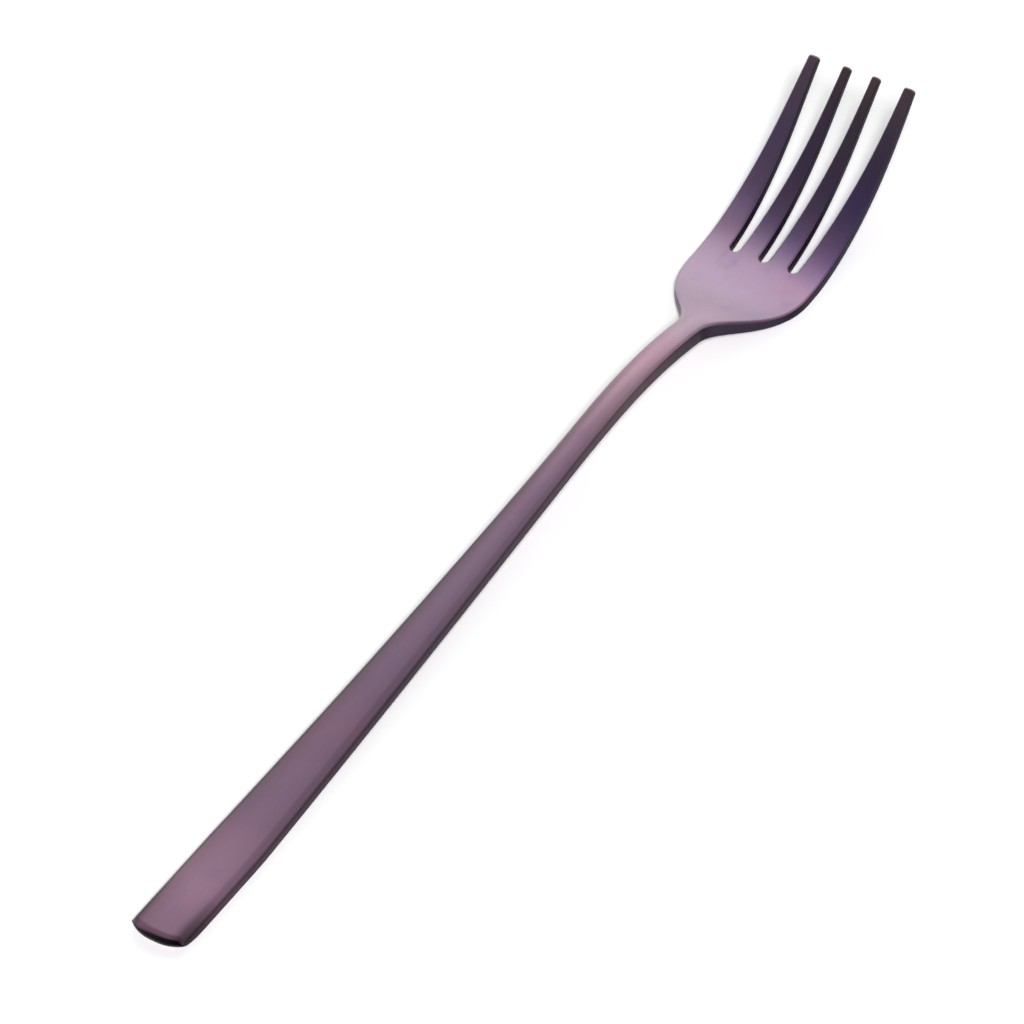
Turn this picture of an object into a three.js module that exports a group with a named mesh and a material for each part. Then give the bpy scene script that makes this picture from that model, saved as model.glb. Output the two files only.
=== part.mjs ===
// Table fork: one blank of stainless steel, stamped, ground, bent and coated in satin mauve.
// Millimetres and degrees. +X runs from the handle's end to the tine tips, +Z is up, and the
// concave side faces up. The fork lies on z = 0 on the flat heel of its handle and on its belly.
// The regions of the one forging are separate solids that share their end faces without a gap.

import * as THREE from 'three';

// Lengths along the top of the fork
const gripLength = 90;
const handleLength = 117.2;
const neckLength = 34.3;
const palmLength = 21;
const tineLength = 38.8;

// Side profile: where the top line's angle is set, and that angle
const heelLength = 20.3;
const heelBend = 1;
const liftAngle = 1.7;
const riseAngle = 4.4;
const crestIntoNeck = 10;
const crestAngle = 1.5;
const dropIntoPalm = 7.1;
const scoopIntoTines = 4.2;
const scoopAngle = 13.9;
const straightTip = 10.6;
const sweepAngle = 34.8;
const tipAngle = 36.2;
const bendEase = 4;

// Plan outline
const handleEndWidth = 10.3;
const handleEndBulge = 1.5;
const handleEndReach = 8;
const handleEndFullness = 2.6;
const neckWidth = 5.05;
const taperRound = 16;
const notchFlare = 2;
const headWidth = 24.2;
const shoulderLength = 16.8;
const shoulderAngle = 35;
const shoulderRoundIn = 5;
const shoulderRoundOut = 8.7;
const tipSpan = 21.6;

// Tines and the slots between them
const tineCount = 4;
const slotPitch = 6.03;
const slotRootWidth = 2;
const innerTipWidth = 1.5;
const outerTipWidth = 1.95;
const tipRoundLength = 0.6;
const tipEdge = 0.32;

// Thickness and edges
const handleThickness = 3.05;
const notchThickness = 3.25;
const rootThickness = 1.95;
const tipThickness = 1.6;
const drawnLength = 12.8;
const handleCrown = 0.5;
const handleTopEdge = 1.3;
const headTopEdge = 0.4;
const undersideEdge = 0.4;
const endEdge = 1.3;
const endRun = 5;
const endDepth = 1.2;
const endWall = 0.45;
const slotEndRounding = 0.15;

// Finish
const coatColour = 0x86687f;
const coatRoughness = 0.38;

// Facets
const arcSteps = 4;
const wideColumns = 6;
const tineColumns = 3;

// Stations along the top line
const neckStart = handleLength;
const palmStart = neckStart + neckLength;
const tineStart = palmStart + palmLength;
const tineEnd = tineStart + tineLength;

const { lerp, clamp, degToRad, smoothstep } = THREE.MathUtils;

/** Value at a station, between [station, value] knots in order. */
function between(knots, station, ease = (share) => share) {
  const last = knots.length - 1;
  const upper = Math.max(1, knots.findIndex(([place]) => place >= station));
  const index = station >= knots[last][0] ? last : upper;
  const [from, start] = knots[index - 1];
  const [to, end] = knots[index];
  return lerp(start, end, ease(clamp((station - from) / (to - from), 0, 1)));
}

const softly = (share) => smoothstep(share, 0, 1);

/** Thickness of the metal at a station, square to the top line. */
function thicknessAt(station) {
  const knots = [
    [neckStart, handleThickness],
    [palmStart, notchThickness],
    [palmStart + drawnLength, rootThickness],
    [tineEnd, tipThickness],
  ];
  return between(knots, station, softly);
}

/** The top line of the side profile, with its slope eased from bend to bend. */
class TopLine {
  constructor(dropAngle) {
    this.knots = [
      [0, 0],
      [heelLength, 0],
      [heelLength + heelBend, liftAngle],
      [neckStart, riseAngle],
      [neckStart + crestIntoNeck, crestAngle],
      [palmStart + dropIntoPalm, dropAngle],
      [tineStart + scoopIntoTines, scoopAngle],
      [tineEnd - straightTip, sweepAngle],
      [tineEnd, tipAngle],
    ];
    this.step = 0.5;
    this.points = [new THREE.Vector2(0, handleThickness)];
    for (let station = 0; station < tineEnd; station += this.step) {
      const slope = this.slopeAt(station + this.step / 2);
      const move = new THREE.Vector2(Math.cos(slope), Math.sin(slope)).multiplyScalar(this.step);
      this.points.push(this.points.at(-1).clone().add(move));
    }
  }

  /** Slope in radians: the mean over the easing length around the station. */
  slopeAt(station) {
    const samples = 16;
    let sum = 0;
    for (let sample = 0; sample < samples; sample += 1) {
      const offset = bendEase * ((2 * sample + 1) / samples - 1);
      sum += between(this.knots, station + offset);
    }
    return degToRad(sum / samples);
  }

  /** Point of a cross section: height is measured square to the line, up from its top. */
  place(station, across, height) {
    const index = clamp(Math.floor(station / this.step), 0, this.points.length - 2);
    const share = station / this.step - index;
    const foot = this.points[index].clone().lerp(this.points[index + 1], share);
    const slope = this.slopeAt(station);
    const x = foot.x - height * Math.sin(slope);
    return new THREE.Vector3(x, across, foot.y + height * Math.cos(slope));
  }

  /** Height of the belly's lowest point. */
  bellyHeight() {
    let lowest = Infinity;
    for (let station = palmStart; station <= tineEnd; station += this.step) {
      lowest = Math.min(lowest, this.place(station, 0, -thicknessAt(station)).z);
    }
    return lowest;
  }
}

/** The neck drops just so far that the belly lies on the table with the heel. */
function restingTopLine() {
  let shallow = 0;
  let steep = -60;
  for (let round = 0; round < 40; round += 1) {
    const middle = (shallow + steep) / 2;
    if (new TopLine(middle).bellyHeight() > 0) shallow = middle;
    else steep = middle;
  }
  return new TopLine((shallow + steep) / 2);
}

/** Half outline of the flat blank: station along it, half width across it. */
function blankOutline() {
  const end = handleEndWidth / 2;
  const neck = neckWidth / 2;
  const head = headWidth / 2;
  const widest = palmStart + shoulderLength;
  const rise = new THREE.Vector2(1, 0).rotateAround(new THREE.Vector2(), degToRad(shoulderAngle));
  const notchEnd = rise.clone().multiplyScalar(notchFlare).add(new THREE.Vector2(palmStart, neck));
  const roundIn = rise.clone().multiplyScalar(shoulderRoundIn).add(notchEnd);
  const edgeRun = tineEnd - widest;
  const path = new THREE.Path();
  path.moveTo(0, end);
  path.lineTo(heelLength, end);
  path.quadraticCurveTo(neckStart - taperRound, neck, neckStart, neck);
  path.lineTo(palmStart - notchFlare, neck);
  path.quadraticCurveTo(palmStart, neck, notchEnd.x, notchEnd.y);
  path.bezierCurveTo(roundIn.x, roundIn.y, widest - shoulderRoundOut, head, widest, head);
  const drawIn = new THREE.Vector2(tineEnd - edgeRun / 4, (head + tipSpan / 2) / 2);
  path.bezierCurveTo(widest + edgeRun / 3, head, drawIn.x, drawIn.y, tineEnd, tipSpan / 2);
  return path.getPoints(48).map((point) => [point.x, point.y]);
}

const topLine = restingTopLine();
const outline = blankOutline();
const halfWidthAt = (station) => between(outline, station);

/** How far the section has gone over from the crowned handle to the flat head. */
const headShare = (station) => smoothstep(station, palmStart, tineStart);

/** Quarter round from the side of a section to its top or underside, as [inset, drop] pairs. */
function quarterRound(radius) {
  const pairs = [];
  for (let step = 0; step <= arcSteps; step += 1) {
    const angle = (step / arcSteps) * (Math.PI / 2);
    pairs.push([radius * (1 - Math.cos(angle)), radius * (1 - Math.sin(angle))]);
  }
  return pairs;
}

/**
 * Closed cross section as [across, height] points: along the top from right to left and back along
 * the underside, so that point i of the top lies over point i of the underside counted from its end.
 */
function crossSection({ right, left, thickness, crown, topEdges, lowEdges, columns, inset = 0 }) {
  const middle = (right + left) / 2;
  const half = (left - right) / 2;
  const row = (edges, rowCrown, sign) => {
    const [rightEdge, leftEdge] = edges.map((edge) => Math.min(edge, half));
    const rightRound = quarterRound(rightEdge).map(([inward, drop]) => [right + inward, drop]);
    const leftRound = quarterRound(leftEdge).map(([inward, drop]) => [left - inward, drop]).reverse();
    const inner = [];
    for (let column = 1; column < columns; column += 1) {
      inner.push([lerp(rightRound.at(-1)[0], leftRound[0][0], column / columns), 0]);
    }
    return [...rightRound, ...inner, ...leftRound].map(([across, drop]) => {
      const arch = rowCrown * ((across - middle) / half) ** 2;
      return [across, sign > 0 ? -drop - arch - inset : drop - thickness + inset];
    });
  };
  return [...row(topEdges, crown, 1), ...row(lowEdges, 0, -1).reverse()];
}

/** Section of the handle, neck or palm at a station. */
function bodySection(station) {
  const half = halfWidthAt(station);
  const topEdge = lerp(handleTopEdge, headTopEdge, headShare(station));
  return crossSection({
    right: -half,
    left: half,
    thickness: thicknessAt(station),
    crown: lerp(handleCrown, 0, headShare(station)),
    topEdges: [topEdge, topEdge],
    lowEdges: [undersideEdge, undersideEdge],
    columns: wideColumns,
  });
}

/** Closed mesh through rings of equal size. Both ends are strips from the top row to the underside. */
function loft(rings) {
  const size = rings[0].length;
  const half = size / 2;
  const indices = [];
  const quad = (a, b, c, d) => indices.push(a, b, c, a, c, d);
  for (let ring = 0; ring + 1 < rings.length; ring += 1) {
    for (let point = 0; point < size; point += 1) {
      const next = (point + 1) % size;
      const here = ring * size;
      const there = here + size;
      quad(here + point, there + point, there + next, here + next);
    }
  }
  const last = (rings.length - 1) * size;
  for (let point = 0; point + 1 < half; point += 1) {
    const low = size - 1 - point;
    quad(point, point + 1, low - 1, low);
    quad(last + point, last + low, last + low - 1, last + point + 1);
  }
  const geometry = new THREE.BufferGeometry();
  const positions = rings.flat().flatMap((vertex) => vertex.toArray());
  geometry.setAttribute('position', new THREE.Float32BufferAttribute(positions, 3));
  geometry.setIndex(indices);
  geometry.computeVertexNormals();
  return geometry;
}

/** Ring of a section standing square to the top line at one station. */
function ringAt(station, section) {
  return section.map(([across, height]) => topLine.place(station, across, height));
}

/** Evenly spaced stations, both ends included. */
function stations(from, to, count) {
  return Array.from({ length: count + 1 }, (_, index) => lerp(from, to, index / count));
}

/** Share of its height that the section has at a distance from the handle's end. */
function noseShare(distance, run) {
  const short = clamp(1 - distance / run, 0, 1);
  return lerp(endWall / handleThickness, 1, Math.sqrt(1 - short ** 2));
}

/** Ring near the handle's end: bowed in plan, rolled over on top and swept up below to a blunt nose. */
function noseRing(distance) {
  const half = halfWidthAt(distance);
  const topShare = noseShare(distance, endEdge);
  const lowShare = noseShare(distance, endRun);
  const reach = clamp(1 - distance / handleEndReach, 0, 1);
  return bodySection(distance).map(([across, height]) => {
    const share = height > -endDepth ? topShare : lowShare;
    const vertex = topLine.place(distance, across, lerp(-endDepth, height, share));
    vertex.x -= reach * handleEndBulge * (1 - Math.abs(across / half) ** handleEndFullness);
    return vertex;
  });
}

/** The broad part of the handle. Its slim end belongs to the solid of the neck. */
function handle() {
  const roll = quarterRound(endEdge).map(([inward]) => inward);
  const sweep = stations(endEdge, endRun, 4).slice(1);
  const heel = stations(endRun, heelLength - bendEase, 4).slice(1);
  const grip = stations(heelLength - bendEase, gripLength, 16).slice(1);
  const nose = [...roll, ...sweep, ...heel].map(noseRing);
  return loft([...nose, ...grip.map((station) => ringAt(station, bodySection(station)))]);
}

function neck() {
  const bar = stations(gripLength, palmStart - notchFlare, 18);
  const flare = stations(palmStart - notchFlare, palmStart, 4).slice(1);
  return loft([...bar, ...flare].map((station) => ringAt(station, bodySection(station))));
}

function palm() {
  const flare = stations(palmStart, palmStart + notchFlare, 4);
  const shoulder = stations(palmStart + notchFlare, tineStart, 18).slice(1);
  return loft([...flare, ...shoulder].map((station) => ringAt(station, bodySection(station))));
}

/** Edges of one tine at a station, right and left, and the share of its rounding each side has. */
function tineEdges(index, station) {
  const slotRadius = slotRootWidth / 2;
  const reach = station - tineStart;
  const opening = reach < slotRadius ? Math.sqrt(slotRadius ** 2 - (slotRadius - reach) ** 2) : slotRadius;
  const rounding = lerp(slotEndRounding, 1, opening / slotRadius);
  const run = clamp((reach - slotRadius) / (tineLength - slotRadius), 0, 1);
  const share = (run + smoothstep(run, 0, 1)) / 2;
  const rightSlot = (index - tineCount / 2) * slotPitch;
  const leftSlot = rightSlot + slotPitch;
  const rightmost = index === 0;
  const leftmost = index === tineCount - 1;
  const outer = rightmost || leftmost;
  const tipWidth = outer ? outerTipWidth : innerTipWidth;
  const tipCentre = (rightSlot + leftSlot) / 2;
  const rightTip = leftmost ? tipSpan / 2 - tipWidth : tipCentre - tipWidth / 2;
  const leftTip = rightmost ? tipWidth - tipSpan / 2 : tipCentre + tipWidth / 2;
  return {
    right: rightmost ? -halfWidthAt(station) : lerp(rightSlot + opening, rightTip, share),
    left: leftmost ? halfWidthAt(station) : lerp(leftSlot - opening, leftTip, share),
    rightRounding: rightmost ? 1 : rounding,
    leftRounding: leftmost ? 1 : rounding,
  };
}

/** Section of one tine. Its slot edges are rounded more as the slot opens. */
function tineSection(index, station, inset = 0) {
  const { right, left, rightRounding, leftRounding } = tineEdges(index, station);
  return crossSection({
    right: right + inset,
    left: left - inset,
    thickness: thicknessAt(station),
    crown: 0,
    topEdges: [headTopEdge * rightRounding, headTopEdge * leftRounding],
    lowEdges: [undersideEdge * rightRounding, undersideEdge * leftRounding],
    columns: tineColumns,
    inset,
  });
}

function tine(index) {
  const slotRadius = slotRootWidth / 2;
  const roundEnd = quarterRound(slotRadius).map(([inward]) => tineStart + inward);
  const blade = stations(tineStart + slotRadius, tineEnd - tipRoundLength, 20).slice(1);
  const rings = [...roundEnd, ...blade].map((station) => ringAt(station, tineSection(index, station)));
  const tip = quarterRound(1).reverse().slice(1).map(([back, inset]) => {
    const station = tineEnd - back * tipRoundLength;
    return ringAt(station, tineSection(index, station, inset * tipEdge));
  });
  return loft([...rings, ...tip]);
}

const fork = new THREE.Group();

function addPiece(name, geometry) {
  const material = new THREE.MeshStandardMaterial({
    color: coatColour,
    roughness: coatRoughness,
    metalness: 1,
  });
  const mesh = new THREE.Mesh(geometry, material);
  mesh.name = name;
  fork.add(mesh);
}

addPiece('handle', handle());
addPiece('neck', neck());
addPiece('palm', palm());
const tineNames = ['tine_right_outer', 'tine_right_inner', 'tine_left_inner', 'tine_left_outer'];
tineNames.forEach((name, index) => addPiece(name, tine(index)));

// The origin lies under the middle of the fork's length.
const box = new THREE.Box3().setFromObject(fork);
fork.position.x = -(box.min.x + box.max.x) / 2;

export default fork;
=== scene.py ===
"""Looks of the table fork: satin mauve steel on a pale studio floor.

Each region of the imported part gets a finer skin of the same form. Sizes are millimetres and degrees
until a mesh, a lamp or the camera is made, which is in metres.
"""

import logging
import math
from dataclasses import dataclass, field
from enum import Enum
from functools import cached_property
from typing import Any

import bpy
import numpy as np
from mathutils import Matrix, Vector


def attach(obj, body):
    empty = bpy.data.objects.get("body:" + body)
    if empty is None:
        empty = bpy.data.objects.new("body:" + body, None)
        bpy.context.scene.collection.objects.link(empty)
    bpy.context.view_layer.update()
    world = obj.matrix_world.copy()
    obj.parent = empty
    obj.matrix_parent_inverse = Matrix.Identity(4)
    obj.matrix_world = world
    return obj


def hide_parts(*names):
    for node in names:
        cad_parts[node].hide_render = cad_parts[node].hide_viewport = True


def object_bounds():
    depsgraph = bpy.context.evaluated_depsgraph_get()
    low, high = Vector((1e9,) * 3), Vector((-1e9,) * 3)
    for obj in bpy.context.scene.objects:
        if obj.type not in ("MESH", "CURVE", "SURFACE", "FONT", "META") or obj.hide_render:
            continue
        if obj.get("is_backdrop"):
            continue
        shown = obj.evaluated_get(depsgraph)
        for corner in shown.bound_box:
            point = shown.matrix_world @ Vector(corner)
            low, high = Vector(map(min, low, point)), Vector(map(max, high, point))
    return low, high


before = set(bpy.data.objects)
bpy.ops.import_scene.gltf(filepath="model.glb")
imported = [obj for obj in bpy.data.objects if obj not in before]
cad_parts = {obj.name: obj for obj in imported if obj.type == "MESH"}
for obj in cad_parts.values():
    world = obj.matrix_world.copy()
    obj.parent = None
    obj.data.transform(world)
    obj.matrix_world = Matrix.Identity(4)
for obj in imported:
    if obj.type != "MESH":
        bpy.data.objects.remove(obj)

LOG = logging.getLogger("table_fork")
METRE = 0.001
Array = np.ndarray
Colour = tuple[float, float, float]
Span = tuple[float, float]


class Side(Enum):
    """The two broad faces of the metal."""

    TOP = 1
    UNDERSIDE = -1


class End(Enum):
    """How a region ends along the fork."""

    FREE = "free"
    SHARED = "shared"


class Lay(Enum):
    """Where a tine stands in the row, counted from the fork's right."""

    RIGHT_OUTER = 0
    RIGHT_INNER = 1
    LEFT_INNER = 2
    LEFT_OUTER = 3


def blend(start: Any, end: Any, share: Any) -> Any:
    """Straight mix from start to end."""
    return start + (end - start) * share


def ease(value: Array, low: float, high: float) -> Array:
    """Smooth step of a value, 0 at low and 1 at high."""
    share = np.clip((value - low) / (high - low), 0.0, 1.0)
    return share * share * (3.0 - 2.0 * share)


def curve(handles: list[tuple[float, float]], count: int) -> Array:
    """Points along a Bezier curve.

    Args:
        handles: Its control points, the ends included.
        count: How many points are wanted.

    Returns:
        The points, one row each.
    """
    share = np.linspace(0.0, 1.0, count)[:, None]
    layer = [np.array(handle) + 0.0 * share for handle in handles]
    while len(layer) > 1:
        layer = [blend(first, second, share) for first, second in zip(layer, layer[1:])]
    return layer[0]


def arc_insets(radius: float, steps: int) -> Array:
    """Distances from an edge at which its quarter round is cut into equal angles."""
    return radius * (1.0 - np.cos(np.linspace(0.0, math.pi / 2.0, steps + 1)))


def linear(red: int, green: int, blue: int) -> Colour:
    """Scene colour of an sRGB display colour given in steps of 255."""
    shares = np.array([red, green, blue]) / 255.0
    low = shares / 12.92
    high = ((shares + 0.055) / 1.055) ** 2.4
    return tuple(float(value) for value in np.where(shares <= 0.04045, low, high))


@dataclass
class Rim:
    """Edges of the blank as short straight runs, with the direction into the metal of each."""

    start: Array
    run: Array
    inward: Array
    block: int = 256
    on_rim: float = 0.004

    @classmethod
    def along(cls, points: Array, turn: int) -> "Rim":
        """Runs along a row of points.

        Args:
            points: Station and across of each point.
            turn: 1 where the metal lies to the left of the way, -1 where it lies to the right.

        Returns:
            The rim of that row.
        """
        run = np.diff(points, axis=0)
        normal = np.stack([-run[:, 1], run[:, 0]], axis=1) * turn
        return cls(points[:-1], run, normal / np.linalg.norm(normal, axis=1, keepdims=True))

    @classmethod
    def joined(cls, rims: list["Rim"]) -> "Rim":
        """All runs of several rims in one."""
        parts = [(rim.start, rim.run, rim.inward) for rim in rims]
        return cls(*(np.concatenate(column) for column in zip(*parts)))

    def nearest(self, points: Array) -> tuple[Array, Array]:
        """Distance to the rim and direction away from it.

        Args:
            points: Station and across of each point.

        Returns:
            The distances, and unit directions from the rim into the metal.
        """
        distances = np.empty(len(points))
        inward = np.empty((len(points), 2))
        length = (self.run**2).sum(axis=1)
        for first in range(0, len(points), self.block):
            block = slice(first, first + self.block)
            offset = points[block, None, :] - self.start
            share = np.clip((offset * self.run).sum(axis=2) / length, 0.0, 1.0)
            gap = offset - share[:, :, None] * self.run
            span = np.hypot(gap[:, :, 0], gap[:, :, 1])
            index = span.argmin(axis=1)
            here = np.arange(len(index))
            distance = span[here, index]
            touching = distance < self.on_rim
            away = gap[here, index] / np.maximum(distance, self.on_rim)[:, None]
            inward[block] = np.where(touching[:, None], self.inward[index], away)
            distances[block] = np.where(touching, 0.0, distance)
        return distances, inward


@dataclass
class Blank:
    """Plan of the flat blank: station along the fork, half width across it."""

    grip_length: float = 90.0
    handle_length: float = 117.2
    neck_length: float = 34.3
    palm_length: float = 21.0
    tine_length: float = 38.8
    heel_length: float = 20.3
    handle_end_width: float = 10.3
    handle_end_bulge: float = 1.5
    handle_end_reach: float = 8.0
    handle_end_fullness: float = 2.6
    neck_width: float = 5.05
    taper_round: float = 16.0
    notch_flare: float = 2.0
    head_width: float = 24.2
    shoulder_length: float = 16.8
    shoulder_angle: float = 35.0
    shoulder_round_in: float = 5.0
    shoulder_round_out: float = 8.7
    tip_span: float = 21.6
    slot_pitch: float = 6.03
    slot_root_width: float = 2.0
    inner_tip_width: float = 1.5
    outer_tip_width: float = 1.95
    tip_corner: float = 0.5
    tip_round: float = 0.4
    long_curve_points: int = 80
    shoulder_points: int = 120
    notch_points: int = 24
    slot_round_rows: int = 10
    tip_round_rows: int = 6
    blade_rows: int = 44

    @property
    def neck_start(self) -> float:
        """Station where the neck has its own width."""
        return self.handle_length

    @property
    def palm_start(self) -> float:
        """Station where the palm begins."""
        return self.neck_start + self.neck_length

    @property
    def tine_start(self) -> float:
        """Station of the slots' round ends."""
        return self.palm_start + self.palm_length

    @property
    def tine_end(self) -> float:
        """Station of the tips."""
        return self.tine_start + self.tine_length

    @cached_property
    def side(self) -> Array:
        """Outer outline of one half, as station and half width."""
        end = self.handle_end_width / 2.0
        neck = self.neck_width / 2.0
        head = self.head_width / 2.0
        tip = self.tip_span / 2.0
        start = self.neck_start
        widest = self.palm_start + self.shoulder_length
        edge_run = self.tine_end - widest
        angle = math.radians(self.shoulder_angle)
        rise = np.array([math.cos(angle), math.sin(angle)])
        notch_end = np.array([self.palm_start, neck]) + rise * self.notch_flare
        round_in = notch_end + rise * self.shoulder_round_in
        flare_start = (self.palm_start - self.notch_flare, neck)
        taper = [(self.heel_length, end), (start - self.taper_round, neck), (start, neck)]
        notch = [flare_start, (self.palm_start, neck), tuple(notch_end)]
        shoulder = [tuple(notch_end), tuple(round_in), (widest - self.shoulder_round_out, head)]
        # The outer edge holds the head's width for a third of its run, then draws in to the tips.
        draw_in = [(widest, head), (widest + edge_run / 3.0, head)]
        draw_in += [(self.tine_end - edge_run / 4.0, (head + tip) / 2.0), (self.tine_end, tip)]
        pieces = [
            np.array([(0.0, end)]),
            curve(taper, self.long_curve_points),
            curve(notch, self.notch_points),
            curve([*shoulder, (widest, head)], self.shoulder_points)[1:],
            curve(draw_in, self.long_curve_points)[1:],
        ]
        return np.concatenate(pieces)

    def half_width(self, station: Array) -> Array:
        """Half the width of the blank at a station."""
        return np.interp(station, self.side[:, 0], self.side[:, 1])

    def end_bow(self, across: Array) -> Array:
        """Station of the handle's bowed end at a place across it."""
        share = np.abs(across) / (self.handle_end_width / 2.0)
        return -self.handle_end_bulge * (1.0 - np.minimum(share, 1.0) ** self.handle_end_fullness)

    def bowed(self, distance: Array, across: Array) -> Array:
        """Station at a distance from the bowed end."""
        share = np.clip(1.0 - distance / self.handle_end_reach, 0.0, 1.0)
        return distance + self.end_bow(across) * share

    def unbowed(self, station: Array, across: Array) -> Array:
        """Distance from the bowed end at a station."""
        bow = self.end_bow(across)
        near = (station - bow) / (1.0 - bow / self.handle_end_reach)
        return np.where(station < self.handle_end_reach, near, station)

    def slot_opening(self, station: Array) -> Array:
        """Half width that the round end of a slot has reached at a station."""
        radius = self.slot_root_width / 2.0
        short = np.clip(radius - (station - self.tine_start), 0.0, radius)
        return np.sqrt(radius**2 - short**2)

    def tine_edges(self, lay: Lay, station: Array) -> tuple[Array, Array]:
        """Right and left edge of one tine.

        Args:
            lay: Which tine.
            station: Stations from the slots' round ends to the tips.

        Returns:
            Across of the right edge and of the left edge.
        """
        radius = self.slot_root_width / 2.0
        run = np.clip((station - self.tine_start - radius) / (self.tine_length - radius), 0.0, 1.0)
        share = (run + ease(run, 0.0, 1.0)) / 2.0
        opening = self.slot_opening(station)
        right_slot = (lay.value - len(Lay) // 2) * self.slot_pitch
        left_slot = right_slot + self.slot_pitch
        centre = (right_slot + left_slot) / 2.0
        inner = self.inner_tip_width / 2.0
        right_tip = self.tip_span / 2.0 - self.outer_tip_width if lay is Lay.LEFT_OUTER else centre - inner
        left_tip = self.outer_tip_width - self.tip_span / 2.0 if lay is Lay.RIGHT_OUTER else centre + inner
        right = blend(right_slot + opening, right_tip, share)
        left = blend(left_slot - opening, left_tip, share)
        if lay is Lay.RIGHT_OUTER:
            right = -self.half_width(station)
        if lay is Lay.LEFT_OUTER:
            left = self.half_width(station)
        into_corner = np.clip(station - self.tine_end + self.tip_corner, 0.0, self.tip_corner)
        corner = self.tip_corner - np.sqrt(self.tip_corner**2 - into_corner**2)
        return right + corner, left - corner

    def tine_stations(self) -> Array:
        """Stations that follow the slot's round end, the blade and the tip of a tine."""
        round_end = self.tine_start + arc_insets(self.slot_root_width / 2.0, self.slot_round_rows)
        tip_insets = np.append(arc_insets(self.tip_round, self.tip_round_rows), self.tip_corner)
        tip = self.tine_end - tip_insets[::-1]
        blade = np.linspace(round_end[-1], tip[0], self.blade_rows)
        return np.concatenate([round_end, blade[1:-1], tip])

    @cached_property
    def rim(self) -> Rim:
        """Every free edge of the blank."""
        body = self.side[self.side[:, 0] < self.tine_start]
        nose = [-self.handle_end_bulge, self.handle_end_width / 2.0]
        body = np.vstack([nose, body, [self.tine_start, self.half_width(self.tine_start)]])
        rims = [Rim.along(body * [1.0, -1.0], 1), Rim.along(body, -1)]
        stations = self.tine_stations()
        for lay in Lay:
            right, left = self.tine_edges(lay, stations)
            tip = np.array([[self.tine_end, right[-1]], [self.tine_end, left[-1]]])
            rims.append(Rim.along(np.stack([stations, right], axis=1), 1))
            rims.append(Rim.along(np.stack([stations, left], axis=1), -1))
            rims.append(Rim.along(tip, 1))
        return Rim.joined(rims)


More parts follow.
